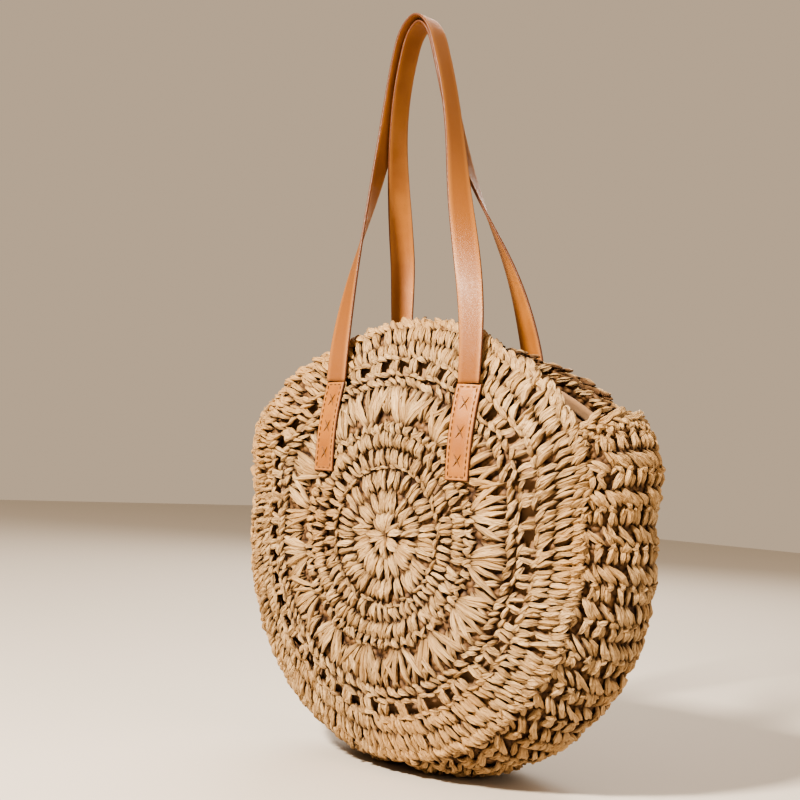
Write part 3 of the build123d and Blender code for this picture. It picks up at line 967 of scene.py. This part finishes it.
for side, word in ((-1, "front"), (1, "back")):
    for hand, hand_word in ((-1, "left"), (1, "right")):
        columns, rows = 22, 76
        points, faces, edges, rough = [], [], [], []
        for layer in (1, 0):
            for i in range(rows + 1):
                for c in range(columns + 1):
                    u, v = 2 * c / columns - 1, i / rows
                    x, y = u * leather_width / 2, end_bottom + end_length * v
                    near = min(abs(1 - abs(u)) * leather_width / 2, min(v, 1 - v) * end_length)
                    dent = 0.00045 * np.exp(-((near - 0.003) / 0.0011) ** 2)
                    for cross in (-1, 0, 1):
                        dx, dy = x, y - (end_bottom + end_length / 2) - cross * end_length / 3.4
                        dent += 0.0008 * np.exp(-(dx / 0.0045) ** 2 - (dy / 0.0065) ** 2)
                    round_off = 0.0007 * np.exp(-near / 0.0006)
                    out = leather_thick - dent - round_off if layer else 0.0003
                    points.append((hand * strap_spacing / 2 + x, y, out))
                    edges.append(1.0 if near < 0.0007 else 1 - near / (leather_width / 2))
        grid = columns + 1
        last = (rows + 1) * grid
        for face in grid_faces(rows, columns):
            faces.append(face)
            faces.append(tuple(last + a for a in face[::-1]))
        border = [c for c in range(grid)] + [i * grid + columns for i in range(1, rows + 1)]
        border += [rows * grid + c for c in range(columns - 1, -1, -1)]
        border += [i * grid for i in range(rows - 1, 0, -1)]
        for a, b in zip(border, border[1:] + border[:1]):
            faces.append((b, a, last + a, last + b))
        bent = onto_panel(np.array(points), side)
        patch = plain_piece(f"{word}_strap_patch_{hand_word}", bent, faces, leather)
        patch.data.attributes.new("edge", "FLOAT", "POINT").data.foreach_set("value", edges)
        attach(patch, "bag")
        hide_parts(f"{word}_strap_end_{hand_word if side == -1 else other_hand[hand_word]}")

# ---- Hand stitching ----
# Waxed thread round each strap end and in three crosses down its middle.

thread, tree, shader = surface("waxed_thread")
spot = put(tree, "ShaderNodeTexCoord", {}, {}).outputs["Object"]
ply = put(tree, "ShaderNodeTexWave", {"bands_direction": "DIAGONAL"}, {"Vector": spot, "Scale": 900.0})
# The ply stripes are painted light: dark grooves as painted shade, pale ply tops as painted highlight.
ply_shade_and_highlight = mixed(tree, ply.outputs["Fac"], (0.10, 0.040, 0.016, 1), (0.34, 0.18, 0.08, 1))
tree.links.new(ply_shade_and_highlight, shader.inputs["Base Color"])
tree.links.new(spread_out(tree, ply.outputs["Fac"], 0, 1, 0.42, 0.6), shader.inputs["Roughness"])
bumped(tree, shader, ply.outputs["Fac"], 0.0002)

stitch_points, stitch_faces = [], []
for i in range(7):
    t = -1 + i / 3
    for k in range(6):
        turn = tau * k / 6
        across = 0.5 * cos(turn) * (0.7 + 0.3 * (1 - t * t))
        stitch_points.append((0.5 * t, across, 0.5 * sin(turn) + 0.9 * (1 - t**4) - 0.9))
for i in range(6):
    for k in range(6):
        j = (k + 1) % 6
        stitch_faces.append((i * 6 + k, i * 6 + j, i * 6 + j + 6, i * 6 + k + 6))
stitch_faces += [tuple(range(6))[::-1], tuple(range(36, 42))]
one_stitch = plain_piece("one_stitch", stitch_points, stitch_faces)

sewing = bpy.data.node_groups.new("hand_sewing", "GeometryNodeTree")
for label, kind in (("Places", "Geometry"), ("Stitch", "Object"), ("Thread", "Material"), ("Thickness", "Float")):
    sewing.interface.new_socket(label, in_out="INPUT", socket_type="NodeSocket" + kind)
sewing.interface.new_socket("Geometry", in_out="OUTPUT", socket_type="NodeSocketGeometry")
given = sewing.nodes.new("NodeGroupInput").outputs
turn = put(sewing, "GeometryNodeInputNamedAttribute", {"data_type": "FLOAT"}, {"Name": "turn"}).outputs[0]
long = put(sewing, "GeometryNodeInputNamedAttribute", {"data_type": "FLOAT"}, {"Name": "long"}).outputs[0]
turned = put(sewing, "ShaderNodeCombineXYZ", {}, {2: turn}).outputs[0]
sized = put(sewing, "ShaderNodeCombineXYZ", {}, {0: long, 1: given["Thickness"], 2: given["Thickness"]}).outputs[0]
source = put(sewing, "GeometryNodeObjectInfo", {"transform_space": "ORIGINAL"}, {"Object": given["Stitch"]})
sewn = put(sewing, "GeometryNodeInstanceOnPoints", {}, {
    "Points": given["Places"], "Instance": source.outputs["Geometry"], "Rotation": turned, "Scale": sized})
real = put(sewing, "GeometryNodeRealizeInstances", {}, {0: sewn.outputs[0]})
dressed = put(sewing, "GeometryNodeSetMaterial", {}, {0: real.outputs[0], "Material": given["Thread"]})
sewing.links.new(dressed.outputs[0], sewing.nodes.new("NodeGroupOutput").inputs[0])


def sew(name, places, thickness):
    """Lays one stitch at each (x, y, z, turn, length), flat; the piece is bent onto the panel after."""
    piece = plain_piece(name, [p[:3] for p in places])
    for label, column in (("turn", 3), ("long", 4)):
        attribute = piece.data.attributes.new(label, "FLOAT", "POINT")
        attribute.data.foreach_set("value", [p[column] for p in places])
    modifier = piece.modifiers.new("sewing", "NODES")
    modifier.node_group = sewing
    named = {s.name: s.identifier for s in sewing.interface.items_tree if s.in_out == "INPUT"}
    modifier[named["Stitch"]] = one_stitch
    modifier[named["Thread"]] = thread
    modifier[named["Thickness"]] = thickness
    return piece


for side, word in ((-1, "front"), (1, "back")):
    for hand, hand_word in ((-1, "left"), (1, "right")):
        middle_x, middle_y = hand * strap_spacing / 2, end_bottom + end_length / 2
        wide, tall, top = leather_width - 0.006, end_length - 0.006, leather_thick + 0.0001
        places = []
        for i in range(14):
            y = middle_y + (i - 6.5) * tall / 14
            places += [(middle_x + e * wide / 2, y, top, pi / 2, 0.0038) for e in (-1, 1)]
        for i in range(3):
            x = middle_x + (i - 1) * wide / 3
            places += [(x, middle_y + e * tall / 2, top, 0.0, 0.0038) for e in (-1, 1)]
        for cross in (-1, 0, 1):
            y = middle_y + cross * end_length / 3.4
            places += [(middle_x, y, top - 0.0002, lean, 0.0155) for lean in (0.98, -0.98)]
        stitches = sew(f"{word}_stitches_{hand_word}", places, 0.0009)
        bend(worked(stitches), onto_panel, side)
        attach(stitches, "bag")
        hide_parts(f"{word}_stitching_{hand_word if side == -1 else other_hand[hand_word]}")
bpy.data.objects.remove(one_stitch)
